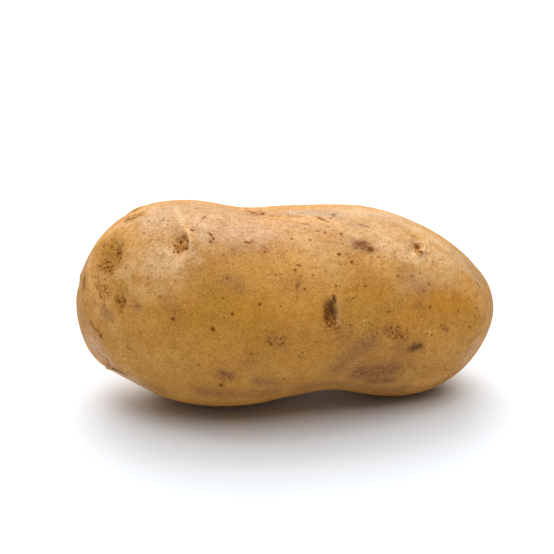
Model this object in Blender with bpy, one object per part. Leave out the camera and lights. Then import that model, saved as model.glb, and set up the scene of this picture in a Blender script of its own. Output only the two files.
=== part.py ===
"""A raw long oval potato, lying on its flatter side. Metres, +Z up.

The origin is on the table, below the middle of the potato's box. +X runs from the rose end, where
the eyes crowd together, to the stem end, where the tuber hung on its runner. Its front faces -Y.
A place on the skin is given by its distance along the long axis and its angle round that axis,
0 degrees at the front, 90 on top, 180 at the back and -90 underneath.
"""

import math

import bmesh
import bpy
from mathutils import Vector, noise

MM = 0.001

# Driving dimensions of the tuber
LENGTH = 120 * MM

# The body, in millimetres, at even steps from the rose end to the stem end: the height of its long
# axis, then the half sizes to the top, the underside, the front and the back, each before the round
# closing of the two ends is taken off
SECTIONS_MM = (
    (27.9, 48.0, 37.0, 33.0, 31.0),
    (27.6, 42.6, 30.4, 33.5, 31.0),
    (27.1, 38.0, 30.9, 34.5, 31.0),
    (26.9, 33.3, 29.7, 35.0, 30.5),
    (26.8, 28.8, 27.4, 34.5, 31.0),
    (26.6, 28.5, 24.4, 32.5, 32.0),
    (26.1, 29.4, 23.2, 31.0, 33.5),
    (25.5, 31.0, 27.8, 30.0, 34.5),
    (24.8, 31.2, 32.1, 29.5, 34.5),
    (24.4, 30.2, 34.9, 29.5, 34.0),
    (24.4, 28.0, 33.0, 30.0, 33.0),
)

# Broad swellings and hollows: along mm, around degrees, breadth mm, height mm
LUMPS = (
    (-30, 75, 13, 0.8),
    (-12, 95, 9, -0.6),
    (20, 20, 14, 0.5),
    (14, -95, 10, -1.0),
    (-38, 170, 14, 1.0),
    (25, 200, 15, -1.0),
)

# Unevenness of the whole body, a smooth field of this reach and this size
UNEVEN_REACH = 24 * MM
UNEVEN_HEIGHT = 0.35 * MM

# The eyes: along mm, around degrees, width mm, length mm, turn degrees, depth mm, brow mm.
# Width and length are half sizes. The brow stands on the side that the turn points to, 0 along +X.
EYES = (
    (-31, 55, 2.8, 4.2, 5, 1.6, 0.9),
    (-49.5, 64, 4.5, 5.0, 10, 1.8, 0.6),
    (-47.3, 27, 2.2, 3.4, 0, 0.9, 0.4),
    (7.4, 18, 1.6, 3.8, 0, 1.5, 0.6),
    (34.5, 63, 2.1, 3.2, -18, 1.4, 0.8),
    (-9, 86, 2.0, 4.4, -75, 0.9, 0.5),
    (-43.5, 98, 1.8, 3.2, 40, 0.7, 0.6),
    (-59.2, 105, 2.0, 2.6, 10, 0.6, 0.5),
    (14, 138, 2.2, 4.0, 15, 1.2, 0.6),
    (-24, 172, 2.4, 4.2, -10, 1.4, 0.7),
    (38, 196, 2.0, 3.6, 10, 1.2, 0.6),
    (-47, 222, 2.6, 3.6, 0, 1.2, 0.5),
    (-52, -40, 2.0, 3.0, 20, 0.8, 0.4),
)
DEEP_EYE = 1.3

# The scar where the tuber hung on its runner: along mm, around degrees, half width, depth, rim mm
STEM_SCAR = (59.3, 160, 2.6, 1.0, 0.4)

EYE_REACH = 5

# The block that the body is rounded from: half length against half width, and its cells
BLOCK_HALF_LENGTH = 2
CELLS_ALONG = 28
CELLS_ACROSS = 14


def between(values, place):
    """A smooth curve through evenly spaced values, read at a place from 0 to 1."""
    last = len(values) - 1
    step = min(int(place * last), last - 1)
    t = place * last - step
    before, here, there, after = (
        values[min(max(step + shift, 0), last)] for shift in (-1, 0, 1, 2)
    )
    rise = (there - before) / 2
    fall = (after - here) / 2
    bend = here - there
    return here + t * (rise + t * (-3 * bend - 2 * rise - fall + t * (2 * bend + rise + fall)))


def section(along_share):
    """Axis height, top, underside, front and back at -1, the rose end, to 1, the stem end."""
    place = (along_share + 1) / 2
    return [between(column, place) * MM for column in zip(*SECTIONS_MM)]


def blend(low, high, share):
    """Passes smoothly from the low size at a share of -1 to the high size at 1."""
    return low + (high - low) * (1 + math.sin(math.pi / 2 * share)) / 2


def body_point(direction):
    """The point of the plain body that a unit direction from its middle leads to."""
    along, across, up = direction
    height, top, under, front, back = section(along)
    return Vector((
        along * LENGTH / 2,
        across * blend(front, back, across),
        height + up * blend(under, top, up),
    ))


def direction_to(along_mm, around_degrees):
    """The unit direction whose body point lies that far along the axis and that far round it."""
    along = along_mm * MM / (LENGTH / 2)
    around = math.radians(around_degrees)
    _, top, under, front, back = section(along)
    across, up = -math.cos(around), math.sin(around)
    across, up = across / blend(front, back, across), up / blend(under, top, up)
    ring = math.sqrt(1 - along * along) / math.hypot(across, up)
    return Vector((along, across * ring, up * ring))


def skin_frame(along_mm, around_degrees):
    """A point of the plain body with its outward normal and the skin's +X and upward directions."""
    direction = direction_to(along_mm, around_degrees)
    step = 0.01
    sideways = Vector((0, -direction.z, direction.y)).normalized()
    lengthways = direction.cross(sideways)
    point, ahead, beside = (
        body_point((direction + move).normalized())
        for move in (Vector(), lengthways * step, sideways * step)
    )
    normal = (ahead - point).cross(beside - point).normalized()
    if normal.dot(direction) < 0:
        normal.negate()
    forward = (Vector((1, 0, 0)) - normal * normal.x).normalized()
    return point, normal, forward, normal.cross(forward)


def lump_height(point):
    """How far the swellings, the hollows and the unevenness move a body point outwards."""
    height = UNEVEN_HEIGHT * noise.noise(point / UNEVEN_REACH)
    for along, around, breadth, lump in LUMPS:
        away = (point - body_point(direction_to(along, around))).length
        height += lump * MM * math.exp(-((away / (breadth * MM)) ** 2))
    return height


def eye_height(across, up):
    """The relief of an eye, as shares of its depth and its brow, at a place in half sizes.

    The bud lies in a pit that falls gently from one side and ends under a crescent brow, which runs
    out into a long low fold at both ends.
    """
    past = across - 0.9 + 0.35 * min(up * up, 1.5)
    pit = math.exp(-(((past + 0.75) / 0.75) ** 2) - (up / 0.9) ** 2)
    crest = 0.7 * math.exp(-((up / 1.1) ** 2)) + 0.3 * math.exp(-((up / 2.6) ** 2))
    brow = crest * math.exp(-(((past - 0.25) / 0.42) ** 2))
    return pit, brow


def add_eye(bm, eye):
    """Presses one eye into the skin and raises its brow."""
    along, around, width, length, turn, depth, brow_height = eye
    centre, normal, forward, upward = skin_frame(along, around)
    turned = math.radians(turn)
    to_brow = forward * math.cos(turned) + upward * math.sin(turned)
    on_brow = normal.cross(to_brow)
    for vertex in bm.verts:
        offset = vertex.co - centre
        if offset.length > EYE_REACH * max(width, length) * MM:
            continue
        across = offset.dot(to_brow) / (width * MM)
        up = offset.dot(on_brow) / (length * MM)
        pit, brow = eye_height(across, up)
        vertex.co += normal * (brow * brow_height - pit * depth) * MM


def cell_edges(count, half):
    """The cuts of one side of the block, spaced so that the cells come out even on the body."""
    quarter = math.pi / 4
    return [half * math.tan(quarter * (2 * n / count - 1)) for n in range(1, count)]


def cell_block():
    """A closed block of even cells, twice as long as it is wide."""
    bm = bmesh.new()
    bmesh.ops.create_cube(bm, size=2)
    bmesh.ops.scale(bm, vec=(BLOCK_HALF_LENGTH, 1, 1), verts=bm.verts)
    along_cuts = [
        BLOCK_HALF_LENGTH * math.tan(math.asin(math.sin(math.pi / 4) * (2 * n / CELLS_ALONG - 1)))
        for n in range(1, CELLS_ALONG)
    ]
    cuts = [(Vector((1, 0, 0)), place) for place in along_cuts]
    cuts += [(Vector((0, 1, 0)), place) for place in cell_edges(CELLS_ACROSS, 1)]
    cuts += [(Vector((0, 0, 1)), place) for place in cell_edges(CELLS_ACROSS, 1)]
    for axis, place in cuts:
        everything = [*bm.verts, *bm.edges, *bm.faces]
        bmesh.ops.bisect_plane(bm, geom=everything, plane_co=axis * place, plane_no=axis)
    return bm


def direction_of(block_point):
    """The unit direction that a point of the block stands for."""
    x, y, z = block_point
    return Vector((x / BLOCK_HALF_LENGTH, y, z)).normalized()


def refine_near(bm, places, reach):
    """Halves the cells that lie within a reach of an eye or scar, in half sizes of that place."""
    near = set()
    for along, around, *sizes in places:
        centre = body_point(direction_to(along, around))
        limit = reach * max(sizes[:2]) * MM
        for face in bm.faces:
            if (body_point(direction_of(face.calc_center_median())) - centre).length < limit:
                near.update(face.edges)
    bmesh.ops.subdivide_edges(bm, edges=list(near), cuts=1, use_grid_fill=True)


def add_stem_scar(bm):
    """Presses in the round scar and raises the low rim of skin that closed round it."""
    along, around, half_width, depth, rim = STEM_SCAR
    centre, normal, *_ = skin_frame(along, around)
    for vertex in bm.verts:
        away = (vertex.co - centre).length / (half_width * MM)
        pressed = depth * math.exp(-((away / 0.7) ** 2))
        raised = rim * math.exp(-(((away - 1.2) / 0.45) ** 2))
        vertex.co += normal * (raised - pressed) * MM


def make_potato():
    """The tuber: the block rounded to the body, its lumps and eyes, and the flat spots it lies on."""
    bm = cell_block()
    refine_near(bm, EYES + (STEM_SCAR,), 1.9)
    refine_near(bm, EYES, 1.4)
    refine_near(bm, [eye for eye in EYES if eye[5] > DEEP_EYE], 1.0)
    bmesh.ops.poke(bm, faces=[face for face in bm.faces if len(face.verts) > 4])
    for vertex in bm.verts:
        direction = direction_of(vertex.co)
        point = body_point(direction)
        outwards = Vector((
            direction.x / LENGTH,
            direction.y / LENGTH * BLOCK_HALF_LENGTH,
            direction.z / LENGTH * BLOCK_HALF_LENGTH,
        )).normalized()
        vertex.co = point + outwards * lump_height(point)
    for eye in EYES:
        add_eye(bm, eye)
    add_stem_scar(bm)
    for vertex in bm.verts:
        vertex.co.z = max(vertex.co.z, 0)
    bmesh.ops.recalc_face_normals(bm, faces=bm.faces)
    mesh = bpy.data.meshes.new("potato")
    bm.to_mesh(mesh)
    bm.free()
    mesh.shade_smooth()
    return bpy.data.objects.new("potato", mesh)


def skin_material():
    """Thin yellow-brown skin, dull with a slight waxy shine."""
    material = bpy.data.materials.new("potato_skin")
    material.use_nodes = True
    shader = material.node_tree.nodes["Principled BSDF"]
    shader.inputs["Base Color"].default_value = (0.56, 0.34, 0.13, 1)
    shader.inputs["Roughness"].default_value = 0.55
    shader.inputs["Metallic"].default_value = 0
    return material


def main():
    for old in list(bpy.data.objects):
        bpy.data.objects.remove(old)
    collection = bpy.data.collections.new("potato")
    bpy.context.scene.collection.children.link(collection)
    potato = make_potato()
    potato.data.materials.append(skin_material())
    collection.objects.link(potato)


main()
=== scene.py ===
"""The looks of a raw long oval potato: freckled skin, eyes and scars, on a white table."""

import math
import random

import bpy
import numpy as np
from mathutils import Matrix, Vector, noise


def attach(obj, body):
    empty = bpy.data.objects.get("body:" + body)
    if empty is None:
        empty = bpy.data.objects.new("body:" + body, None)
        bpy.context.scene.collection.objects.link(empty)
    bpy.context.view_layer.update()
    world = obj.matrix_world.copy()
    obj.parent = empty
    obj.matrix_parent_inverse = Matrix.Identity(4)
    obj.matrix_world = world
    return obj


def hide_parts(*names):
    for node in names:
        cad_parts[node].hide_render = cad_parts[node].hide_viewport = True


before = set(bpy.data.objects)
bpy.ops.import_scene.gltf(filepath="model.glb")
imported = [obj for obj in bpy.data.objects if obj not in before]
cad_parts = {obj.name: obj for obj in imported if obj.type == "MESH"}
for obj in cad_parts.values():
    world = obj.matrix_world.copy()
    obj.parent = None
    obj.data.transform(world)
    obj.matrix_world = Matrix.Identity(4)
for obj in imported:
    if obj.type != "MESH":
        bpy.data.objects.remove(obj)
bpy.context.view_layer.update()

# The table, the studio and the camera.
# A wide white table top that runs out of view. Most light comes from soft boxes above and behind, and
# one above the front lights the near side, so that a soft shadow falls forward.

MM = 0.001
TABLE_SIZE = 8.0
TABLE_WHITE = (0.82, 0.86, 0.90)
TABLE_ROUGHNESS = 0.6
TABLE_SHINE = 0.1
VIEW_AZIMUTH = math.radians(-6)
VIEW_ELEVATION = math.radians(20)
VIEW_DISTANCE = 437 * MM
VIEW_TARGET = Vector((-3.0, 0, 35.3)) * MM
NEAREST_SEEN = 10 * MM
LENS_MM = 100
SENSOR_MM = 36
PICTURE_SIDE = 554
STUDIO_RADIUS = 1.1
SOFT_BOX_SIDE = 1.0
ROOM_BRIGHTNESS = 0.16
# Each soft box, with its azimuth and elevation in degrees as seen from the potato, and its watts
SOFT_BOXES = {
    "back_low_box": (180, 30, 3.9),
    "back_high_box": (180, 47, 5.0),
    "back_right_box": (135, 55, 4.5),
    "back_left_box": (-135, 55, 5.3),
    "front_box": (0, 70, 7.6),
}


def white_table_material():
    material = bpy.data.materials.new("white_table")
    material.use_nodes = True
    shader = material.node_tree.nodes["Principled BSDF"]
    shader.inputs["Base Color"].default_value = (*TABLE_WHITE, 1)
    shader.inputs["Roughness"].default_value = TABLE_ROUGHNESS
    shader.inputs["Specular IOR Level"].default_value = TABLE_SHINE
    return material


def add_table():
    bpy.ops.mesh.primitive_plane_add(size=TABLE_SIZE, location=(0, 0, 0))
    table = bpy.context.object
    table.name = "table_top"
    table.data.materials.append(white_table_material())


def direction(azimuth, elevation):
    """The unit direction at an azimuth from the front, positive towards +X, and an elevation."""
    level = math.cos(elevation)
    return Vector((math.sin(azimuth) * level, -math.cos(azimuth) * level, math.sin(elevation)))


def add_camera():
    camera_data = bpy.data.cameras.new("photo_camera")
    camera_data.lens = LENS_MM
    camera_data.sensor_width = SENSOR_MM
    camera_data.clip_start = NEAREST_SEEN
    camera = bpy.data.objects.new("photo_camera", camera_data)
    back = direction(VIEW_AZIMUTH, VIEW_ELEVATION)
    camera.location = VIEW_TARGET + back * VIEW_DISTANCE
    camera.rotation_euler = back.to_track_quat("Z", "Y").to_euler()
    bpy.context.scene.collection.objects.link(camera)
    bpy.context.scene.camera = camera


def add_soft_box(name, azimuth_degrees, elevation_degrees, watts):
    """A square soft light on the studio's dome that faces the potato."""
    light = bpy.data.lights.new(name, "AREA")
    light.shape = "SQUARE"
    light.size = SOFT_BOX_SIDE
    light.energy = watts
    lamp = bpy.data.objects.new(name, light)
    outwards = direction(math.radians(azimuth_degrees), math.radians(elevation_degrees))
    lamp.location = VIEW_TARGET + outwards * STUDIO_RADIUS
    lamp.rotation_euler = outwards.to_track_quat("Z", "Y").to_euler()
    bpy.context.scene.collection.objects.link(lamp)


def add_dim_room():
    """The white walls all round, which send back a little of the light."""
    world = bpy.data.worlds.new("studio_room")
    world.use_nodes = True
    background = world.node_tree.nodes["Background"]
    background.inputs["Color"].default_value = (1, 1, 1, 1)
    background.inputs["Strength"].default_value = ROOM_BRIGHTNESS
    bpy.context.scene.world = world


add_table()
add_camera()
for box_name, place_and_watts in SOFT_BOXES.items():
    add_soft_box(box_name, *place_and_watts)
add_dim_room()
bpy.context.scene.view_settings.view_transform = "Standard"

# The tuber's skin.
# One closed skin over solid flesh, grown as one piece. It starts as the solid's own mesh, which is made
# fine enough to carry the lips, buds, folds and scabs of the real skin.

MERGE_DISTANCE = 0.01 * MM
# The most that two triangles joined into one cell may be bent or skewed, in radians
MOST_BENT = 0.7
MOST_SKEWED = 0.9
TIMES_HALVED = 2

potato_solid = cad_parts["potato"]


def start_skin():
    """A merged copy of the solid's mesh, in quads, with each cell cut in sixteen."""
    bpy.ops.object.select_all(action="DESELECT")
    skin = bpy.data.objects.new("potato_skin", potato_solid.data.copy())
    bpy.context.scene.collection.objects.link(skin)
    bpy.context.view_layer.objects.active = skin
    skin.select_set(True)
    bpy.ops.object.mode_set(mode="EDIT")
    bpy.ops.mesh.select_all(action="SELECT")
    bpy.ops.mesh.remove_doubles(threshold=MERGE_DISTANCE)
    bpy.ops.mesh.tris_convert_to_quads(face_threshold=MOST_BENT, shape_threshold=MOST_SKEWED)
    bpy.ops.object.mode_set(mode="OBJECT")
    finer = skin.modifiers.new("finer", "SUBSURF")
    finer.levels = TIMES_HALVED
    finer.render_levels = TIMES_HALVED
    bpy.ops.object.modifier_apply(modifier=finer.name)
    skin.data.materials.clear()
    skin.data.shade_smooth()
    return skin


def read_vectors(collection, field):
    """The vectors of a mesh's points or faces as an array with one row each."""
    values = np.empty(len(collection) * 3)
    collection.foreach_get(field, values)
    return values.reshape(-1, 3)


skin = start_skin()
points = read_vectors(skin.data.vertices, "co")
normals = read_vectors(skin.data.vertices, "normal")
facing_camera = normals @ np.array(direction(VIEW_AZIMUTH, VIEW_ELEVATION))

# Places on the skin.
# What the photo shows is placed by where it is seen there, along the line of sight. What lies on the
# far side is placed by its distance along the tuber and its angle round it, 0 in front, 90 on top.

# How high above the table the tuber's middle line runs at each end
AXIS_HEIGHT_ROSE_END = 27.9 * MM
AXIS_HEIGHT_STEM_END = 24.4 * MM
TUBER_LENGTH = 120 * MM
# The size on the potato of one pixel of the photo
PIXEL = VIEW_DISTANCE * SENSOR_MM / LENS_MM / PICTURE_SIDE
# How far each step of a seed shifts the noise along each axis
SEED_STEPS = (1, 1.7, 2.3)


def seen_at(across, down):
    """The point of the skin that the photo shows at a pixel, counted from its upper left corner."""
    back = direction(VIEW_AZIMUTH, VIEW_ELEVATION)
    right = Vector((math.cos(VIEW_AZIMUTH), math.sin(VIEW_AZIMUTH), 0))
    up = back.cross(right)
    middle = PICTURE_SIDE / 2
    aim = VIEW_TARGET + (right * (across - middle) + up * (middle - down)) * PIXEL
    lens = VIEW_TARGET + back * VIEW_DISTANCE
    hit, place, *_ = skin.ray_cast(lens, (aim - lens).normalized())
    if not hit:
        raise ValueError(f"no skin at pixel {across}, {down}")
    return np.array(place)


def round_at(along_mm, around_degrees):
    """The point of the skin that far along the tuber and that far round it."""
    share = along_mm * MM / TUBER_LENGTH + 0.5
    height = AXIS_HEIGHT_ROSE_END + (AXIS_HEIGHT_STEM_END - AXIS_HEIGHT_ROSE_END) * share
    around = math.radians(around_degrees)
    outwards = Vector((0, -math.cos(around), math.sin(around)))
    _, place, *_ = skin.ray_cast(Vector((along_mm * MM, 0, height)), outwards)
    return np.array(place)


def stroke_shade(strokes):
    """How strongly each point of the skin is covered by soft strokes seen in the photo.

    A stroke is across and down at one end, the same at the other, reach in pixels and strength.
    """
    shade = np.zeros(len(points))
    for from_x, from_y, to_x, to_y, reach, strength in strokes:
        start = seen_at(from_x, from_y)
        run = seen_at(to_x, to_y) - start
        share = np.clip((points - start) @ run / (run @ run), 0, 1)
        away = np.linalg.norm(points - start - share[:, None] * run, axis=1)
        shade = np.maximum(shade, strength * np.exp(-((away / (reach * PIXEL)) ** 2)))
    return shade


def noise_at(places, reach, seed):
    """Smooth noise of a given reach at each place, from about -1 to 1."""
    shift = Vector([seed * step for step in SEED_STEPS])
    return np.array([noise.noise(Vector(place) / reach + shift) for place in places])


# The fine relief.
# Each eye is a bud in a pit under a crescent brow, where a scale leaf sat on the young tuber. The
# brow's lip is sharp, the bud is a few brown nubs, and the pit's floor is crusty. The skin between
# is slightly uneven, with a few thin folds, and a curled flake at the rose end.

# Along mm, around degrees, half width mm, half length mm, turn degrees, pit depth mm, how sharp the lip
# is and how strong its painted highlight, how crusty the pit is: the eyes of the solid, in the same
# places.
# The pits that the photo shows get their crust from the strokes below instead.
EYES = (
    (-31, 55, 2.8, 4.2, 5, 1.6, 0.9, 0.3),
    (-49.5, 64, 4.5, 5.0, 10, 1.8, 0.1, 0.2),
    (-47.3, 27, 2.2, 3.4, 0, 0.9, 0.3, 0.2),
    (7.4, 18, 1.6, 3.8, 0, 1.5, 0.1, 0.2),
    (34.5, 63, 2.1, 3.2, -18, 1.4, 0.9, 0.2),
    (-9, 86, 2.0, 4.4, -75, 0.9, 0.2, 0.3),
    (-43.5, 98, 1.8, 3.2, 40, 0.7, 0.2, 0.8),
    (-59.2, 105, 2.0, 2.6, 10, 0.6, 0.2, 0.6),
    (14, 138, 2.2, 4.0, 15, 1.2, 0.7, 0.9),
    (-24, 172, 2.4, 4.2, -10, 1.4, 0.8, 1.0),
    (38, 196, 2.0, 3.6, 10, 1.2, 0.6, 0.8),
    (-47, 222, 2.6, 3.6, 0, 1.2, 0.6, 0.9),
    (-52, -40, 2.0, 3.0, 20, 0.8, 0.4, 0.7),
)
AROUND_EYE = 9 * MM

# The brow's line, in half widths from the middle of the eye, and how its ends curl back
BROW_LINE = 0.9
BROW_CURL = 0.35
BROW_CURL_END = 1.5
# The middle and the width of each form of an eye: across it or past the brow's line in its half widths,
# and up it in its half lengths
PIT_PAST_BROW = (-0.6, 0.5)
LIP_PAST_BROW = (0.12, 0.14)
HOLLOW_PAST_BROW = (-0.16, 0.16)
BROW_UP = (0, 0.75)
HOLLOW_UP = (0, 0.6)
BUDS_ACROSS = (0.25, 0.2)
MAIN_BUD_UP = (0.05, 0.16)
SIDE_BUD_UP = (-0.4, 0.14)
SIDE_BUD_SHARE = 0.7
# Heights in an eye, as shares of the pit's depth
LIP_HEIGHT = 0.12
HOLLOW_DEPTH = 0.35
BUD_HEIGHT = 0.3
CRUMB_HEIGHT = 0.12
CRUMB_SIZE = 0.6 * MM

# The uneven grain of the skin between the eyes: height mm, reach mm and seed
GRAIN = (
    (0.10, 7, 3),
    (0.05, 2.6, 8),
)
# Thin folds and cracks in the skin, as strokes with their depth in mm
FOLD_STROKES = (
    (324, 272, 327, 292, 2.2, 0.12),
    (331, 330, 329, 350, 2.4, 0.12),
    (178, 256, 177, 276, 2.0, 0.10),
    (130, 272, 130, 292, 2.2, 0.12),
    (264, 216, 300, 218, 2.2, 0.30),
    (113, 367, 126, 374, 1.6, 0.55),
    (91, 322, 101, 334, 1.8, 0.20),
    (465, 343, 481, 330, 1.4, 0.10),
    (468, 348, 482, 335, 1.4, 0.10),
)
# Raised marks: scabs, warts and the flake's edge, as strokes with their height in mm
RAISED_STROKES = (
    (109, 366, 112, 367, 2.2, 1.3),
    (116, 366, 132, 375, 2.4, 0.45),
    (357, 244, 366, 242, 3.6, 0.25),
    (371, 248, 372, 248, 2.6, 0.25),
    (412, 348, 420, 346, 3.6, 0.20),
    (428, 240, 429, 252, 1.8, 0.20),
    (316, 222, 326, 222, 2.0, 0.15),
)


def bump(value, middle, width):
    return np.exp(-(((value - middle) / width) ** 2))


def eye_grid(eye):
    """The points near an eye, where each lies across it, up it and past its brow, and its normal."""
    along, around, width, length, turn, *_ = eye
    centre = round_at(along, around)
    near = np.linalg.norm(points - centre, axis=1) < AROUND_EYE
    normal = normals[near].mean(axis=0)
    normal /= np.linalg.norm(normal)
    forward = np.array((1.0, 0, 0)) - normal * normal[0]
    forward /= np.linalg.norm(forward)
    turned = math.radians(turn)
    to_brow = forward * math.cos(turned) + np.cross(normal, forward) * math.sin(turned)
    offset = points[near] - centre
    across = offset @ to_brow / (width * MM)
    up = offset @ np.cross(normal, to_brow) / (length * MM)
    past_brow = across - BROW_LINE + BROW_CURL * np.minimum(up * up, BROW_CURL_END)
    return near, across, up, past_brow, normal


crust_shade = np.zeros(len(points))
lip_highlight_shade = np.zeros(len(points))


def finish_eye(eye, number):
    """Sharpens one eye of the solid, and notes where its crust and its lip's painted highlight go."""
    near, across, up, past_brow, normal = eye_grid(eye)
    depth_mm, sharp, crusty = eye[5:]
    crumbs = noise_at(points[near], CRUMB_SIZE, number)
    in_pit = bump(past_brow, *PIT_PAST_BROW) * bump(up, *BROW_UP)
    lip = bump(past_brow, *LIP_PAST_BROW) * bump(up, *BROW_UP) * sharp
    hollow = bump(past_brow, *HOLLOW_PAST_BROW) * bump(up, *HOLLOW_UP)
    buds_up = bump(up, *MAIN_BUD_UP) + SIDE_BUD_SHARE * bump(up, *SIDE_BUD_UP)
    buds = bump(across, *BUDS_ACROSS) * buds_up
    height = lip * LIP_HEIGHT - hollow * HOLLOW_DEPTH + buds * sharp * BUD_HEIGHT
    height += crumbs * in_pit * CRUMB_HEIGHT
    points[near] += np.outer(height * (depth_mm * MM), normal)
    crust_shade[near] = np.maximum(crust_shade[near], in_pit * crusty)
    # Where the lip's painted highlight goes
    lip_highlight_shade[near] = np.maximum(lip_highlight_shade[near], lip)


for number, eye in enumerate(EYES):
    finish_eye(eye, number)

relief = sum(height * noise_at(points, reach * MM, seed) for height, reach, seed in GRAIN)
relief += stroke_shade(RAISED_STROKES) - stroke_shade(FOLD_STROKES)
points += normals * relief[:, None] * MM
points[:, 2] = np.maximum(points[:, 2], 0)
skin.data.vertices.foreach_set("co", points.ravel())
skin.data.update()

# The skin's broad colours.
# Thin cork skin over yellow flesh: pale, dust-grey and rosy where it is rubbed, deep ochre or warmer
# where it is whole, olive where light reached it, and purple-brown where it is bruised or has soil in
# it. Four
# tones also carry painted light: the pale one lightens the upper side and slopes that the relief shades,
# the warmer one lights the rose end, the dust-grey one is a painted sheen and shade along the top edge,
# and the purple-brown one is painted shade along the underside. Eyes and scabs have an orange-brown
# crust with nearly black crumbs in it.

# Pale rubbed skin, and painted light: most strokes lighten the upper side, and a few lighten slopes that
# the relief shades
PALE_AND_TOP_LIGHT_STROKES = (
    (150, 228, 200, 223, 18, 0.8),
    (150, 262, 170, 266, 18, 0.9),
    (178, 262, 178, 286, 6, 0.4),
    (215, 214, 232, 218, 12, 0.3),
    (300, 240, 330, 260, 16, 0.5),
    (350, 238, 372, 232, 12, 0.7),
    (345, 226, 400, 236, 16, 0.7),
    (385, 245, 445, 262, 20, 1.0),
    (415, 275, 460, 280, 12, 0.5),
    (425, 241, 429, 246, 4, 0.8),
    (140, 290, 165, 285, 14, 0.4),
    (90, 262, 100, 276, 8, 0.5),
    (122, 268, 142, 254, 12, 0.8),
    (176, 212, 184, 226, 5, 0.6),
    (345, 212, 400, 220, 16, 0.7),
    (410, 238, 417, 242, 5, 1.0),
    (189, 253, 197, 259, 7, 0.7),
    (154, 248, 170, 254, 9, 1.0),
    (112, 230, 122, 224, 6, 0.8),
    (410, 226, 458, 258, 14, 0.9),
    (458, 262, 482, 288, 8, 0.6),
    (128, 222, 150, 211, 8, 0.8),
)
ROSY_STROKES = (
    (205, 230, 262, 232, 22, 0.9),
    (262, 222, 320, 226, 14, 0.6),
    (150, 218, 180, 222, 16, 0.5),
    (340, 240, 365, 238, 16, 0.3),
    (92, 342, 140, 384, 13, 0.9),
    (466, 358, 476, 346, 9, 0.6),
    (405, 285, 420, 288, 12, 0.3),
)
# Warmer whole skin, and painted light: the strokes at the rose end light it more than the lamps do, and
# a few lighten shaded slopes by the eyes
WARM_AND_END_LIGHT_STROKES = (
    (101, 239, 127, 219, 9, 0.6),
    (128, 236, 146, 244, 12, 0.4),
    (270, 218, 326, 220, 7, 0.6),
    (418, 236, 432, 246, 8, 0.4),
    (92, 268, 98, 306, 13, 1.0),
    (106, 298, 112, 322, 9, 0.6),
    (462, 282, 482, 305, 9, 0.7),
    (128, 219, 146, 213, 7, 0.5),
    (132, 284, 142, 280, 9, 0.4),
    (282, 298, 330, 296, 14, 0.3),
    (424, 330, 450, 350, 14, 0.25),
    (380, 386, 440, 378, 8, 0.6),
    (128, 258, 142, 254, 9, 0.5),
    (172, 276, 182, 290, 10, 0.4),
    (186, 228, 188, 240, 5, 0.7),
    (425, 264, 445, 268, 12, 0.4),
    (374, 258, 402, 272, 14, 0.6),
    (292, 262, 318, 268, 12, 0.5),
    (336, 258, 352, 266, 10, 0.4),
    (308, 286, 318, 280, 10, 0.3),
    (106, 283, 111, 292, 6, 0.8),
    (110, 237, 116, 242, 6, 0.8),
)
# Painted sheen and painted shade along the top edge: paler and darker than the skin below it
TOP_EDGE_SHEEN_AND_SHADE_STROKES = (
    (155, 213, 225, 211, 18, 0.5),
    (225, 213, 262, 214, 14, 0.5),
    (290, 214, 335, 214, 14, 0.8),
    (345, 213, 402, 222, 18, 0.45),
    (402, 223, 452, 250, 14, 0.2),
    (455, 253, 478, 275, 12, 0.5),
)
OCHRE_STROKES = (
    (420, 302, 470, 300, 20, 1.0),
    (400, 325, 440, 335, 18, 0.8),
    (240, 312, 320, 305, 20, 0.6),
    (150, 300, 200, 320, 22, 0.4),
    (350, 300, 400, 290, 14, 0.4),
    (210, 345, 320, 350, 20, 0.3),
    (460, 330, 478, 318, 12, 0.6),
    (92, 312, 98, 330, 10, 0.4),
)
OLIVE_STROKES = (
    (114, 248, 119, 253, 6, 0.8),
    (106, 251, 116, 257, 8, 0.9),
    (104, 262, 113, 266, 8, 1.0),
    (112, 258, 119, 264, 7, 1.0),
    (120, 284, 126, 292, 5, 0.5),
    (94, 300, 88, 318, 7, 0.2),
    (200, 318, 262, 326, 16, 0.5),
    (212, 298, 226, 306, 13, 0.7),
    (262, 302, 264, 326, 11, 0.5),
    (255, 340, 268, 352, 12, 0.4),
    (340, 312, 375, 322, 12, 0.4),
    (344, 298, 352, 308, 10, 0.4),
    (468, 325, 478, 322, 7, 0.4),
)
# Bruises and soil stains, and painted shade: the strokes along the lower edge darken the underside
BRUISE_AND_UNDERSIDE_SHADE_STROKES = (
    (361, 373, 390, 370, 15, 1.0),
    (372, 381, 389, 380, 10, 1.0),
    (340, 330, 352, 344, 10, 0.35),
    (356, 350, 372, 342, 12, 0.7),
    (338, 368, 352, 356, 13, 0.7),
    (345, 385, 400, 389, 12, 0.6),
    (296, 388, 345, 383, 9, 0.6),
    (410, 349, 420, 346, 6, 1.0),
    (398, 346, 408, 350, 7, 0.5),
    (400, 360, 430, 368, 10, 0.25),
    (222, 374, 230, 376, 6, 1.0),
    (258, 381, 276, 383, 7, 0.7),
    (246, 364, 262, 360, 8, 0.3),
    (270, 338, 284, 346, 7, 0.4),
    (226, 278, 242, 288, 7, 0.5),
    (104, 312, 109, 316, 6, 0.7),
    (109, 257, 119, 262, 7, 0.35),
    (356, 243, 370, 249, 6, 1.0),
    (298, 283, 297, 290, 4, 0.4),
    (391, 330, 404, 337, 8, 0.5),
    (150, 386, 165, 391, 8, 0.5),
    (205, 392, 275, 391, 10, 0.65),
    (248, 370, 256, 374, 8, 0.25),
    (234, 250, 262, 246, 8, 0.35),
    (404, 272, 422, 290, 9, 0.3),
    (176, 316, 168, 300, 8, 0.3),
    (136, 306, 140, 308, 4, 0.5),
    (415, 307, 420, 306, 4, 0.6),
    (350, 225, 366, 226, 6, 0.4),
    (85, 275, 84, 288, 3, 0.8),
)
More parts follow.
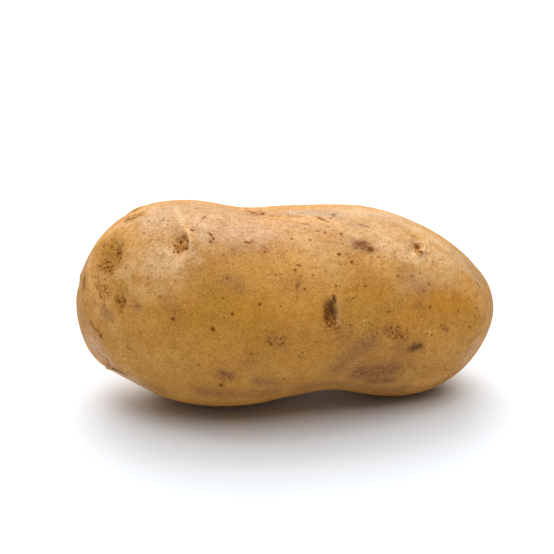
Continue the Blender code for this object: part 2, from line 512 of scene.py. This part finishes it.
# Where the skin is rough and thick with small freckles
SPECKLED_STROKES = (
    (195, 222, 330, 226, 20, 0.8),
    (200, 250, 300, 250, 18, 0.7),
    (330, 236, 380, 252, 18, 0.8),
    (385, 262, 430, 250, 14, 0.5),
    (98, 262, 106, 298, 14, 1.0),
    (120, 296, 128, 308, 9, 0.9),
    (130, 222, 170, 226, 12, 0.5),
    (268, 336, 300, 348, 14, 0.8),
    (345, 330, 410, 342, 20, 0.9),
    (350, 366, 400, 376, 16, 0.9),
    (425, 330, 480, 318, 14, 0.7),
    (440, 360, 470, 340, 14, 0.6),
    (215, 372, 240, 378, 12, 0.9),
    (110, 345, 140, 372, 16, 0.7),
    (160, 362, 200, 368, 14, 0.5),
)
CRUST_STROKES = (
    (180, 240, 186, 236, 4.0, 0.9),
    (178, 248, 185, 248, 4.6, 1.0),
    (104, 264, 111, 270, 7.5, 0.8),
    (118, 299, 124, 304, 5.0, 1.0),
    (121, 308, 121, 312, 3.0, 0.8),
    (100, 284, 108, 292, 8.0, 0.6),
    (129, 219, 141, 214, 6.5, 0.9),
    (247, 211, 262, 213, 5.0, 0.9),
    (266, 215, 300, 216, 3.5, 0.5),
    (300, 223, 312, 226, 3.0, 0.5),
    (328, 318, 333, 325, 8.5, 1.0),
    (328, 310, 332, 316, 7.5, 1.0),
    (118, 252, 121, 259, 4.5, 0.9),
    (417, 246, 420, 254, 3.9, 1.0),
    (388, 330, 404, 337, 7.0, 0.5),
    (442, 326, 447, 330, 4.0, 0.6),
    (188, 222, 200, 232, 9.0, 0.3),
    (228, 378, 222, 384, 5.0, 0.5),
    (128, 346, 132, 352, 4.0, 0.6),
    (90, 322, 102, 334, 3.0, 0.6),
    (363, 224, 368, 227, 3.0, 0.5),
    (318, 217, 326, 221, 2.5, 0.8),
    (306, 330, 308, 339, 4.0, 0.35),
)
# Near black in the deepest parts of some pits and along the flake's crack
NEAR_BLACK_STROKES = (
    (334, 297, 334, 302, 3.0, 1.0),
    (331, 304, 333, 312, 6.0, 0.8),
    (328, 309, 327, 318, 3.8, 0.7),
    (335, 312, 335, 319, 3.0, 0.6),
    (113, 369, 127, 376, 1.6, 1.0),
    (413, 348, 419, 346, 3.8, 0.75),
    (358, 244, 366, 242, 3.4, 0.25),
    (370, 249, 371, 249, 2.8, 0.55),
    (417, 246.5, 417.5, 248, 1.8, 0.6),
    (420.5, 252, 421.5, 253, 1.9, 0.6),
    (119, 254, 120, 259, 2.2, 0.3),
)
# Painted highlights along the sharp lips of the eyes and along a few ridges
LIP_HIGHLIGHT_STROKES = (
    (187, 230, 190, 240, 1.5, 0.9),
    (190, 240, 187, 252, 1.5, 0.9),
    (184, 254, 181, 261, 1.6, 0.7),
    (175, 207, 183, 224, 3.0, 0.5),
    (178, 259, 177, 270, 3.0, 0.5),
    (427, 238, 428, 247, 1.6, 0.6),
    (423, 256, 416, 263, 1.9, 1.0),
    (129, 274, 130, 292, 1.8, 0.4),
    (339, 300, 339, 322, 2.6, 0.25),
)


# Each tone of the skin, with its strokes in the photo and its loose patches on the far side: their
# seed, their reach in mm, the noise where a patch starts and is full, and its strength
# The pale, warmer, dust-grey and purple-brown tones hold painted light and shade as well as skin colour
TONES = {
    "pale": (PALE_AND_TOP_LIGHT_STROKES, 11, 26, 0.0, 0.5, 1.0),
    "dust_and_top_edge_sheen": (TOP_EDGE_SHEEN_AND_SHADE_STROKES, 43, 20, 0.1, 0.6, 0.4),
    "rosy": (ROSY_STROKES, 23, 18, 0.1, 0.6, 1.0),
    "ochre": (OCHRE_STROKES, 37, 22, -0.1, 0.4, 1.0),
    "olive": (OLIVE_STROKES, 71, 15, 0.3, 0.7, 1.0),
    "warm_and_end_light": (WARM_AND_END_LIGHT_STROKES, 5, 17, 0.2, 0.7, 1.0),
    "bruise_and_underside_shade": (BRUISE_AND_UNDERSIDE_SHADE_STROKES, 53, 9, 0.35, 0.75, 1.0),
    "speckled": (SPECKLED_STROKES, 17, 14, 0.0, 0.5, 1.0),
}
# The crust's own patches on the far side, in the same order
FAR_CRUST = (91, 5, 0.6, 0.85, 1.0)
# How far the skin faces the camera, from 1 to -1, where the far side's patches start and are full
HIDDEN_FROM = 0.15
HIDDEN_FULLY = -0.35
# The power that leaves the near black only in the crustiest part of a pit
NEAR_BLACK_POWER = 4


def far_side_shade(seed, reach_mm, start, full, strength):
    """Loose patches for the skin that the photo doesn't show, none where it shows it."""
    field = noise_at(points, reach_mm * MM, seed)
    hidden = np.clip((HIDDEN_FROM - facing_camera) / (HIDDEN_FROM - HIDDEN_FULLY), 0, 1)
    return hidden * np.clip((field - start) / (full - start), 0, 1) * strength


def store_shade(name, *shades):
    """Keeps the strongest of some shades at each point of the skin, for the material."""
    attribute = skin.data.attributes.new(name, "FLOAT", "POINT")
    shade = np.clip(np.max(shades, axis=0), 0, 1)
    attribute.data.foreach_set("value", shade.astype(np.float32))


for tone, (strokes, *patches) in TONES.items():
    store_shade(tone, stroke_shade(strokes), far_side_shade(*patches))
store_shade("crust", stroke_shade(CRUST_STROKES), crust_shade, far_side_shade(*FAR_CRUST))
store_shade("near_black", stroke_shade(NEAR_BLACK_STROKES), crust_shade ** NEAR_BLACK_POWER)
store_shade("lip", stroke_shade(LIP_HIGHLIGHT_STROKES), lip_highlight_shade)

# The spots.
# Pores in the skin that corked over, the small brown dots all over a potato, and scabs and nicks that
# healed dark. Each face of the skin knows its nearest spot: where it is, how large, how dark, and
# which way it is drawn out. Seen spots are pixels of the photo: across, down, reach, darkness.

SEEN_SPOTS = (
    (138, 306, 1.4, 0.6), (173, 319, 1.9, 0.9), (232, 314, 1.6, 0.9), (224, 318, 1.2, 0.6),
    (213, 329, 2.0, 1.0), (223, 298, 1.2, 0.6), (227, 278, 1.3, 0.8), (260, 304, 1.4, 1.0),
    (281, 306, 1.4, 0.5), (269, 342, 1.4, 0.8), (283, 343, 1.4, 0.8), (251, 354, 1.6, 0.6),
    (199, 365, 1.1, 0.8), (284, 379, 1.2, 0.8), (299, 357, 1.3, 0.6), (336, 286, 1.2, 0.9),
    (295, 270, 1.3, 0.9), (305, 289, 1.3, 1.0), (276, 275, 1.2, 0.5), (265, 252, 1.4, 0.9),
    (205, 218, 1.3, 0.5), (223, 255, 1.2, 0.6), (318, 231, 1.3, 0.9), (325, 233, 1.4, 0.8),
    (341, 234, 1.6, 1.0), (292, 239, 1.3, 0.7), (310, 240, 1.1, 0.7), (243, 233, 1.0, 0.5),
    (339, 254, 1.6, 1.0), (352, 262, 1.8, 1.0), (370, 221, 1.1, 0.7), (395, 252, 1.3, 0.6),
    (395, 257, 1.1, 0.6), (365, 286, 1.2, 1.0), (398, 276, 1.6, 0.7), (412, 276, 1.3, 0.6),
    (430, 307, 1.3, 1.0), (458, 311, 1.4, 1.0), (476, 308, 1.1, 0.9), (475, 316, 1.1, 0.8),
    (462, 272, 1.2, 0.7), (398, 327, 1.5, 0.9), (446, 370, 1.7, 0.8), (140, 332, 1.3, 0.6),
    (144, 385, 1.6, 0.9), (221, 385, 2.0, 1.0), (341, 265, 1.3, 0.6), (271, 344, 2.0, 0.7),
    (370.5, 249, 2.7, 1.0), (362, 248, 1.5, 0.8), (377, 250, 1.2, 0.6), (356, 248, 1.5, 0.8),
    (366, 246, 1.3, 0.7), (246, 242, 1.8, 0.9), (249, 243, 1.6, 1.0), (252, 241.5, 1.6, 0.8),
    (281, 339, 1.3, 0.6), (285, 337, 1.2, 0.5), (280, 345, 1.6, 0.6), (270, 338, 1.2, 0.6),
    (393, 333, 1.4, 0.7), (402, 337, 1.6, 0.8), (388, 337, 1.2, 0.7), (407, 330, 1.2, 0.4),
    (413, 350, 1.4, 0.5), (420, 345, 1.3, 0.4), (427, 334, 1.1, 0.9), (432, 335, 1.1, 0.8),
    (443, 328, 1.3, 0.8), (447, 330, 1.2, 0.7), (446, 326, 1.1, 0.6), (441, 326, 1.0, 0.7),
    (101, 336, 2.0, 1.0), (97, 330, 1.3, 0.7), (128, 348, 1.3, 0.7), (131, 350, 1.2, 0.7),
    (362, 374, 1.6, 0.8), (368, 379, 1.6, 0.7), (357, 372, 1.3, 0.8), (353, 376, 1.2, 0.6),
    (223, 373, 1.8, 0.6), (229, 378, 1.5, 0.7), (247, 209, 1.7, 1.0), (253, 213, 1.7, 1.0),
    (260, 210, 1.7, 1.0), (263, 214, 1.7, 1.0), (417, 247, 2.2, 1.0), (421, 252, 2.5, 1.0),
    (416, 252, 1.3, 0.8), (328, 319, 1.4, 1.0), (332, 322, 1.5, 1.0), (327, 323, 1.3, 0.9),
    (108, 262, 1.8, 0.9), (113, 266, 1.6, 0.8), (110, 271, 1.5, 0.9), (105, 268, 1.4, 0.8),
    (119, 253, 1.8, 0.8), (121, 258, 1.5, 0.8), (108, 267, 1.6, 0.9), (112, 273, 1.3, 0.7),
    (119, 301, 1.4, 1.0), (125, 301, 1.4, 1.0), (334, 318, 1.5, 0.9), (330, 315, 1.4, 0.7),
    (335, 324, 1.4, 0.9), (330, 326, 1.3, 0.8), (325, 319, 1.2, 0.7), (391, 328, 1.2, 0.7),
    (396, 331, 1.3, 0.7), (399, 335, 1.2, 0.8), (385, 333, 1.1, 0.6), (395, 338, 1.2, 0.6),
    (122, 306, 1.3, 0.9), (101, 297, 1.5, 0.8), (97, 288, 1.1, 1.0), (104, 305, 1.2, 0.8),
    (181, 243, 1.6, 1.0), (186, 249, 1.8, 1.0), (178, 252, 1.6, 1.0), (175, 246, 1.2, 0.9),
    (174, 252, 1.1, 0.8), (188, 241, 1.5, 1.0), (112, 247, 1.6, 0.7), (104, 246, 1.2, 0.9),
    (96, 254, 1.2, 0.9), (103, 254, 1.2, 0.8), (97, 265, 1.2, 0.6), (123, 245, 1.4, 0.7),
    (123, 228, 1.4, 0.6), (134, 218, 1.5, 0.9), (128, 219, 1.4, 0.9), (133, 231, 1.2, 0.4),
    (144, 233, 1.3, 0.7), (149, 221, 1.2, 0.5), (163, 220, 1.4, 0.5), (168, 224, 1.1, 0.4),
    (192, 230, 1.6, 0.9), (205, 217, 1.4, 0.8), (334, 216, 1.6, 0.9), (331, 218, 1.3, 0.8),
    (148, 278, 1.3, 0.5), (148, 285, 1.2, 0.4), (126, 268, 1.3, 0.5), (160, 297, 1.6, 0.5),
    (105, 279, 1.2, 0.6), (95, 277, 1.2, 0.7), (86, 305, 1.4, 0.5), (91, 321, 1.6, 0.6),
    (302, 353, 1.2, 0.7), (372, 325, 1.3, 0.5), (377, 333, 1.3, 0.5), (350, 325, 1.2, 0.5),
    (415, 370, 1.4, 0.5), (424, 367, 1.3, 0.6), (458, 352, 1.2, 0.6), (470, 327, 1.3, 0.6),
    (433, 262, 1.1, 0.5), (420, 273, 1.1, 0.8), (429, 284, 1.3, 0.6), (424, 291, 1.3, 0.6),
    (465, 291, 1.2, 0.5), (342, 244, 1.2, 0.4), (347, 254, 1.4, 0.5), (378, 257, 1.4, 0.5),
    (284, 254, 1.1, 0.5), (246, 258, 1.0, 0.5), (232, 249, 1.1, 0.5), (312, 275, 1.0, 0.8),
    (325, 271, 1.3, 0.5), (300, 276, 1.2, 0.6), (212, 365, 1.0, 0.4), (190, 352, 1.1, 0.4),
)
# Drawn out spots, nicks and folds: across, down at one end, the same at the other, reach, darkness
SEEN_STREAKS = (
    (356, 244.5, 367, 241.5, 2.9, 0.7),
    (317, 217, 325, 221, 1.8, 0.7),
    (296, 264, 302, 267, 1.1, 0.9),
    (298, 283, 297, 289, 1.8, 0.5),
    (357, 224, 364, 226, 1.2, 0.6),
    (386, 312, 391, 311, 1.0, 0.7),
    (476, 282, 480, 288, 1.2, 0.7),
    (208.5, 233, 212.5, 236.5, 1.6, 1.0),
    (214, 237, 212.5, 240, 1.4, 0.9),
    (209, 241.5, 212.5, 242, 1.5, 0.9),
    (91, 324, 101, 334, 1.1, 0.6),
    (262, 217, 282, 219, 0.9, 0.5),
    (248, 211, 256, 214, 1.1, 0.8),
    (262, 246, 268, 250, 1.0, 0.4),
    (202, 219, 206, 216, 1.1, 0.7),
    (85, 275, 83, 288, 1.4, 0.9),
    (330, 215, 337, 214, 1.3, 0.8),
    (350, 301, 357, 296, 0.9, 0.5),
    (195, 209, 200, 208, 0.9, 0.4),
    (466, 344, 480, 333, 0.8, 0.4),
)
# The spots of the far side: how many, their least and most reach in pixels, and the same of darkness
FAR_SPOTS = 260
FAR_SPOT_REACH = (1.0, 2.0)
FAR_SPOT_DARKNESS = (0.4, 1.0)
SPOT_SEED = 29
# How far the skin may face the camera, from 0 for edge on, where it still counts as the far side
FACING_AWAY = 0.05


def far_spots():
    """Spots strewn over the skin that the photo doesn't show."""
    draw = random.Random(SPOT_SEED)
    hidden = np.flatnonzero(facing_camera < FACING_AWAY)
    return [
        (
            points[hidden[draw.randrange(len(hidden))]],
            np.zeros(3),
            draw.uniform(*FAR_SPOT_REACH) * PIXEL,
            draw.uniform(*FAR_SPOT_DARKNESS),
        )
        for _ in range(FAR_SPOTS)
    ]


def seen_spots():
    """Each spot of the photo: its place, how it is drawn out, its reach and its darkness."""
    spots = [
        (seen_at(across, down), np.zeros(3), reach * PIXEL, dark)
        for across, down, reach, dark in SEEN_SPOTS
    ]
    for from_x, from_y, to_x, to_y, reach, dark in SEEN_STREAKS:
        start, end = seen_at(from_x, from_y), seen_at(to_x, to_y)
        length = np.linalg.norm(end - start) / 2
        drawn_out = math.sqrt(1 - (reach * PIXEL / length) ** 2)
        spots.append(((start + end) / 2, (end - start) / length / 2 * drawn_out, reach * PIXEL, dark))
    return spots


def nearest_spot(spots):
    """The number of each face's nearest spot, with distances counted in the spot's own reach."""
    middles = read_vectors(skin.data.polygons, "center")
    nearest = np.full(len(middles), np.inf)
    chosen = np.zeros(len(middles), int)
    for number, (place, axis, reach, _) in enumerate(spots):
        offset = middles - place
        away = np.sqrt((offset ** 2).sum(axis=1) - (offset @ axis) ** 2) / reach
        closer = away < nearest
        nearest[closer] = away[closer]
        chosen[closer] = number
    return chosen


def store_on_corners(name, kind, field, values):
    attribute = skin.data.attributes.new(name, kind, "CORNER")
    attribute.data.foreach_set(field, values.astype(np.float32).ravel())


def store_spots(spots):
    """Gives every face the place, drawn-out axis, reach and darkness of its nearest spot."""
    sides = np.empty(len(skin.data.polygons), int)
    skin.data.polygons.foreach_get("loop_total", sides)
    of_corner = np.repeat(nearest_spot(spots), sides)
    places, axes, reaches, darknesses = (np.array(column)[of_corner] for column in zip(*spots))
    store_on_corners("spot_place", "FLOAT_VECTOR", "vector", places)
    store_on_corners("spot_axis", "FLOAT_VECTOR", "vector", axes)
    store_on_corners("spot_reach", "FLOAT", "value", reaches)
    store_on_corners("spot_dark", "FLOAT", "value", darknesses)


store_spots(seen_spots() + far_spots())

# The skin's material.
# Dull cork with a faint waxy sheen, finely netted and freckled, with brown crust in the eyes. Colours
# are mixed over one another in the order that they lie on the real skin.

OCHRE_SKIN = (0.585, 0.281, 0.053)
BROWN_SKIN = (0.49, 0.210, 0.034)
DEEP_OCHRE = (0.60, 0.250, 0.025)
# Pale skin, and the painted light on the upper side
PALE_AND_TOP_LIGHT_SKIN = (0.77, 0.47, 0.21)
# Dust, and the painted sheen and shade along the top edge
DUST_AND_TOP_EDGE_SHEEN_SKIN = (0.45, 0.305, 0.175)
ROSY_SKIN = (0.62, 0.365, 0.185)
# Warmer skin, and the painted light at the rose end
WARM_AND_END_LIGHT_SKIN = (0.74, 0.365, 0.095)
OLIVE_SKIN = (0.47, 0.22, 0.022)
# Bruises, and the painted shade along the underside
BRUISE_AND_SHADE_BROWN = (0.22, 0.083, 0.042)
PORE_BROWN = (0.20, 0.062, 0.007)
CRUST_ORANGE = (0.51, 0.20, 0.026)
CRUST_BROWN = (0.21, 0.068, 0.006)
# Near black of the deepest pits and the crack
NEAR_BLACK = (0.070, 0.026, 0.007)
PALE_DOT = (0.80, 0.50, 0.19)
# Painted highlight on the eyes' lips
PAINTED_LIP_HIGHLIGHT = (0.85, 0.60, 0.34)
SHADE_DARK = (0.74, 0.60, 0.34)
SHADE_LIGHT = (1.14, 1.23, 1.50)
WAX_SHINE = 0.12

# How rough the skin is where its wax is whole, where it is worn, and where it is crusted, bruised or
# painted with shade along the underside
WAXED_ROUGHNESS = 0.46
WORN_ROUGHNESS = 0.62
DULL_ROUGHNESS = 0.9

# How much each layer hides of the colour under it, where it is full
BRUISE_AND_SHADE_COVER = 0.9
NET_COVER = 0.40
FINE_FRECKLE_COVER = 0.60
COARSE_FRECKLE_COVER = 0.80
PALE_DOT_COVER = 0.35
CRUST_COVER = 0.65
PALE_GRIT_COVER = 0.5
DARK_GRIT_COVER = 0.85
NEAR_BLACK_COVER = 0.95
LIP_HIGHLIGHT_COVER = 0.6
HALO_COVER = 0.30

# The sizes in mm of the textures' blotches and cells
BLOTCH_SIZE = 9
FRECKLED_PATCH_SIZE = 7
WEAR_SIZE = 4.5
COARSE_FRECKLE_CELL = 3.6
MOTTLE_SIZE = 2.2
SWELLING_SIZE = 1.8
BROKEN_NET_SIZE = 1.7
PALE_DOT_CELL = 1.6
FINE_FRECKLE_CELL = 1.5
NET_CELL = 1.3
WAX_SIZE = 1.3
BRUISE_AND_SHADE_CRUMB_SIZE = 1.2
RAGGED_SIZE = 0.8
RAGGED_SHIFT = 0.8
PIMPLE_SIZE = 0.6
GRIT_SIZE = 0.6
GRAIN_SIZE = 0.55
# The smallest freckle, as a share of how much larger than it the largest is
SMALLEST_FRECKLE = 0.4

# The heights in mm of the finest relief
PIMPLE_HEIGHT = 0.02
SWELLING_HEIGHT = 0.04
FRECKLE_HEIGHT = -0.02
PALE_DOT_HEIGHT = 0.02
SPOT_HEIGHT = 0.06
CRUST_HEIGHT = 0.35


class Nodes:
    """Short words for adding nodes to one material and joining them."""

    def __init__(self, material):
        self.tree = material.node_tree

    def add(self, kind, **settings):
        node = self.tree.nodes.new(kind)
        for name, value in settings.items():
            setattr(node, name, value)
        return node

    def feed(self, socket, value):
        if isinstance(value, bpy.types.NodeSocket):
            self.tree.links.new(value, socket)
        else:
            socket.default_value = value

    def maths(self, operation, first, second=0.0, third=0.0):
        node = self.add("ShaderNodeMath", operation=operation)
        for socket, value in zip(node.inputs, (first, second, third)):
            self.feed(socket, value)
        return node.outputs[0]

    def times(self, *factors):
        product = factors[0]
        for factor in factors[1:]:
            product = self.maths("MULTIPLY", product, factor)
        return product

    def vector_maths(self, operation, first, second=(0, 0, 0)):
        node = self.add("ShaderNodeVectorMath", operation=operation)
        self.feed(node.inputs[0], first)
        self.feed(node.inputs[1], second)
        return node.outputs["Value" if operation in ("DOT_PRODUCT", "LENGTH") else "Vector"]

    def scaled(self, vector, factor):
        node = self.add("ShaderNodeVectorMath", operation="SCALE")
        self.feed(node.inputs[0], vector)
        self.feed(node.inputs["Scale"], factor)
        return node.outputs[0]

    def ramp(self, value, start, end, low=0.0, high=1.0):
        """Low up to the start and high from the end, with a smooth step between."""
        node = self.add("ShaderNodeMapRange", interpolation_type="SMOOTHSTEP")
        self.feed(node.inputs["Value"], value)
        self.feed(node.inputs["From Min"], start)
        self.feed(node.inputs["From Max"], end)
        self.feed(node.inputs["To Min"], low)
        self.feed(node.inputs["To Max"], high)
        return node.outputs["Result"]

    def noise(self, place, size_mm, detail=2.0, roughness=0.5, output="Fac"):
        """Cloudy noise whose blotches are about that size."""
        node = self.add("ShaderNodeTexNoise")
        self.feed(node.inputs["Vector"], place)
        self.feed(node.inputs["Scale"], 1 / (size_mm * MM))
        self.feed(node.inputs["Detail"], detail)
        self.feed(node.inputs["Roughness"], roughness)
        return node.outputs[output]

    def painted(self, name, output="Fac"):
        return self.add("ShaderNodeAttribute", attribute_name=name).outputs[output]

    def mixed(self, share, under, over, blend="MIX"):
        node = self.add("ShaderNodeMix", data_type="RGBA", blend_type=blend)
        colours = [socket for socket in node.inputs if socket.type == "RGBA"]
        self.feed(node.inputs[0], share)
        for socket, value in zip(colours, (under, over)):
            self.feed(socket, value if isinstance(value, bpy.types.NodeSocket) else (*value, 1))
        return [socket for socket in node.outputs if socket.type == "RGBA"][0]


def shifted(nodes, place, size_mm, shift_mm):
    """The place, shifted a little by noise, so that nothing has a ruled outline."""
    stir = nodes.noise(place, size_mm, 2, 0.5, "Color")
    centred = nodes.vector_maths("SUBTRACT", stir, (0.5, 0.5, 0.5))
    return nodes.vector_maths("ADD", place, nodes.scaled(centred, shift_mm * MM))


def spot_distance(nodes, ragged):
    """How far a place is from its nearest spot, in reaches of that spot."""
    offset = nodes.vector_maths("SUBTRACT", ragged, nodes.painted("spot_place", "Vector"))
    length = nodes.vector_maths("LENGTH", offset)
    along = nodes.vector_maths("DOT_PRODUCT", offset, nodes.painted("spot_axis", "Vector"))
    square = nodes.maths("SUBTRACT", nodes.times(length, length), nodes.times(along, along))
    away = nodes.maths("SQRT", nodes.maths("MAXIMUM", square, 0.0))
    return nodes.maths("DIVIDE", away, nodes.painted("spot_reach"))


def freckles(nodes, ragged, cell_mm, least, spread):
    """Small dots in those cells of an uneven net whose chance is above the least.

    Their radii are spread by a share of the cell.
    """
    cells = nodes.add("ShaderNodeTexVoronoi")
    nodes.feed(cells.inputs["Vector"], ragged)
    nodes.feed(cells.inputs["Scale"], 1 / (cell_mm * MM))
    chance = nodes.add("ShaderNodeSeparateColor")
    nodes.feed(chance.inputs[0], cells.outputs["Color"])
    chosen = nodes.ramp(chance.outputs[0], least, least + 0.03)
    radius = nodes.maths("MULTIPLY_ADD", chance.outputs[1], spread, spread * SMALLEST_FRECKLE)
    inside = nodes.ramp(nodes.maths("DIVIDE", cells.outputs["Distance"], radius), 0.6, 1.1, 1.0, 0.0)
    return nodes.times(inside, chosen)


def net(nodes, ragged, cell_mm):
    """The broken threads of a fine cork net."""
    cells = nodes.add("ShaderNodeTexVoronoi", feature="DISTANCE_TO_EDGE")
    nodes.feed(cells.inputs["Vector"], ragged)
    nodes.feed(cells.inputs["Scale"], 1 / (cell_mm * MM))
    threads = nodes.ramp(cells.outputs["Distance"], 0.03, 0.14, 1.0, 0.0)
    return nodes.times(threads, nodes.ramp(nodes.noise(ragged, BROKEN_NET_SIZE, 2), 0.46, 0.60))


def ground_colour(nodes, place):
    """The clean skin: its broad tones, mottled and grainy."""
    blotch = nodes.noise(place, BLOTCH_SIZE, 3)
    mottle = nodes.noise(place, MOTTLE_SIZE, 4, 0.65)
    grain = nodes.noise(place, GRAIN_SIZE, 2, 0.7)
    worn = nodes.noise(place, WEAR_SIZE, 3, 0.6)
    colour = nodes.mixed(nodes.ramp(blotch, 0.4, 0.7, 0.0, 0.7), OCHRE_SKIN, BROWN_SKIN)
    # Four of these tones also hold painted light and shade
    tones = (
        ("ochre", DEEP_OCHRE),
        ("pale", PALE_AND_TOP_LIGHT_SKIN),
        ("dust_and_top_edge_sheen", DUST_AND_TOP_EDGE_SHEEN_SKIN),
        ("rosy", ROSY_SKIN),
        ("warm_and_end_light", WARM_AND_END_LIGHT_SKIN),
        ("olive", OLIVE_SKIN),
    )
    for name, over in tones:
        share = nodes.times(nodes.painted(name), nodes.ramp(mottle, 0.2, 0.6, 0.7, 1.0))
        colour = nodes.mixed(share, colour, over)
    light = nodes.times(
        nodes.ramp(mottle, 0.3, 0.6, 0.6, 1.0),
        nodes.ramp(grain, 0.3, 0.6, 0.35, 1.0),
        nodes.ramp(worn, 0.3, 0.6, 0.75, 1.0),
    )
    shade = nodes.mixed(light, SHADE_DARK, SHADE_LIGHT)
    return nodes.mixed(1.0, colour, shade, "MULTIPLY")


def bruise_and_shade_shares(nodes, ragged):
    """The share of bruising and of painted shade along the underside at each place, with crumbly edges.
    """
    crumbs = nodes.noise(ragged, BRUISE_AND_SHADE_CRUMB_SIZE, 4, 0.75)
    return nodes.times(nodes.painted("bruise_and_underside_shade"), nodes.ramp(crumbs, 0.36, 0.62, 0.60, 1.0))


def freckle_layers(nodes, place, ragged):
    """The cork net, the fine and coarse freckles and the pale dots, thick where the skin is speckled."""
    patchy = nodes.ramp(nodes.noise(place, FRECKLED_PATCH_SIZE, 2), 0.42, 0.64, 0.15, 0.6)
    speckled = nodes.maths("MAXIMUM", nodes.painted("speckled"), patchy)
    layers = (
        net(nodes, ragged, NET_CELL),
        freckles(nodes, ragged, FINE_FRECKLE_CELL, 0.45, 0.24),
        freckles(nodes, ragged, COARSE_FRECKLE_CELL, 0.72, 0.13),
        freckles(nodes, place, PALE_DOT_CELL, 0.55, 0.22),
    )
    return [nodes.times(layer, speckled) for layer in layers]


def crusted(nodes, colour, crust, grit):
    """Crust with pale and dark grit, near black in the pits and the crack, and painted highlights on the
    lips.
    """
    thick = nodes.ramp(crust, 0.15, 0.6)
    pale_grit = nodes.times(thick, nodes.ramp(grit, 0.44, 0.38))
    dark_grit = nodes.times(thick, nodes.ramp(grit, 0.50, 0.58))
    near_black = nodes.times(nodes.painted("near_black"), nodes.ramp(grit, 0.35, 0.6, 1.0, 0.55))
    colour = nodes.mixed(nodes.ramp(crust, 0.15, 0.9, 0.0, CRUST_COVER), colour, CRUST_ORANGE)
    colour = nodes.mixed(nodes.times(pale_grit, PALE_GRIT_COVER), colour, PALE_DOT)
    colour = nodes.mixed(nodes.times(dark_grit, DARK_GRIT_COVER), colour, CRUST_BROWN)
    colour = nodes.mixed(nodes.ramp(near_black, 0.1, 0.7, 0.0, NEAR_BLACK_COVER), colour, NEAR_BLACK)
    return nodes.mixed(nodes.times(nodes.painted("lip"), LIP_HIGHLIGHT_COVER), colour, PAINTED_LIP_HIGHLIGHT)


def spot_layers(nodes, ragged):
    """The faint halo and the dark core of the spots."""
    away = spot_distance(nodes, ragged)
    dark = nodes.painted("spot_dark")
    halo = nodes.times(nodes.ramp(away, 0.8, 2.0, HALO_COVER, 0.0), dark)
    core = nodes.times(nodes.ramp(away, 0.65, 1.1, 1.0, 0.0), dark)
    return halo, core


def raised(nodes, layers):
    """The bump of some layers, each with its height in mm."""
    height = 0.0
    for layer, layer_height in layers:
        height = nodes.maths("MULTIPLY_ADD", layer, layer_height, height)
    relief = nodes.add("ShaderNodeBump")
    nodes.feed(relief.inputs["Distance"], MM)
    nodes.feed(relief.inputs["Height"], height)
    return relief.outputs["Normal"]


def skin_material():
    material = bpy.data.materials.new("potato_skin")
    material.use_nodes = True
    nodes = Nodes(material)
    place = nodes.add("ShaderNodeTexCoord").outputs["Object"]
    ragged = shifted(nodes, place, RAGGED_SIZE, RAGGED_SHIFT)
    bruise_and_underside_shade = bruise_and_shade_shares(nodes, ragged)
    netted, fine, coarse, pale_dots = freckle_layers(nodes, place, ragged)
    crust = nodes.painted("crust")
    grit = nodes.noise(ragged, GRIT_SIZE, 3, 0.7)
    halo, core = spot_layers(nodes, ragged)

    colour = ground_colour(nodes, place)
    # Bruises, and painted shade along the underside
    colour = nodes.mixed(nodes.times(bruise_and_underside_shade, BRUISE_AND_SHADE_COVER), colour, BRUISE_AND_SHADE_BROWN)
    colour = nodes.mixed(nodes.times(netted, NET_COVER), colour, CRUST_BROWN)
    colour = nodes.mixed(nodes.times(fine, FINE_FRECKLE_COVER), colour, CRUST_BROWN)
    colour = nodes.mixed(nodes.times(coarse, COARSE_FRECKLE_COVER), colour, PORE_BROWN)
    colour = nodes.mixed(nodes.times(pale_dots, PALE_DOT_COVER), colour, PALE_DOT)
    colour = crusted(nodes, colour, crust, grit)
    colour = nodes.mixed(halo, colour, CRUST_BROWN)
    colour = nodes.mixed(core, colour, PORE_BROWN)

    layers = (
        (nodes.noise(place, PIMPLE_SIZE, 3, 0.7), PIMPLE_HEIGHT),
        (nodes.noise(place, SWELLING_SIZE, 3, 0.6), SWELLING_HEIGHT),
        (fine, FRECKLE_HEIGHT),
        (pale_dots, PALE_DOT_HEIGHT),
        (core, SPOT_HEIGHT),
        (nodes.times(crust, grit), CRUST_HEIGHT),
    )
    dull = nodes.maths("MAXIMUM", nodes.maths("MAXIMUM", core, crust), bruise_and_underside_shade)
    waxy = nodes.ramp(nodes.noise(place, WAX_SIZE, 3), 0.3, 0.7, WAXED_ROUGHNESS, WORN_ROUGHNESS)
    roughness = nodes.maths("MAXIMUM", waxy, nodes.times(dull, DULL_ROUGHNESS))
    shader = material.node_tree.nodes["Principled BSDF"]
    nodes.feed(shader.inputs["Base Color"], colour)
    nodes.feed(shader.inputs["Roughness"], roughness)
    nodes.feed(shader.inputs["Normal"], raised(nodes, layers))
    shader.inputs["Specular IOR Level"].default_value = WAX_SHINE
    return material


skin.data.materials.append(skin_material())

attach(skin, "root")
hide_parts("potato")
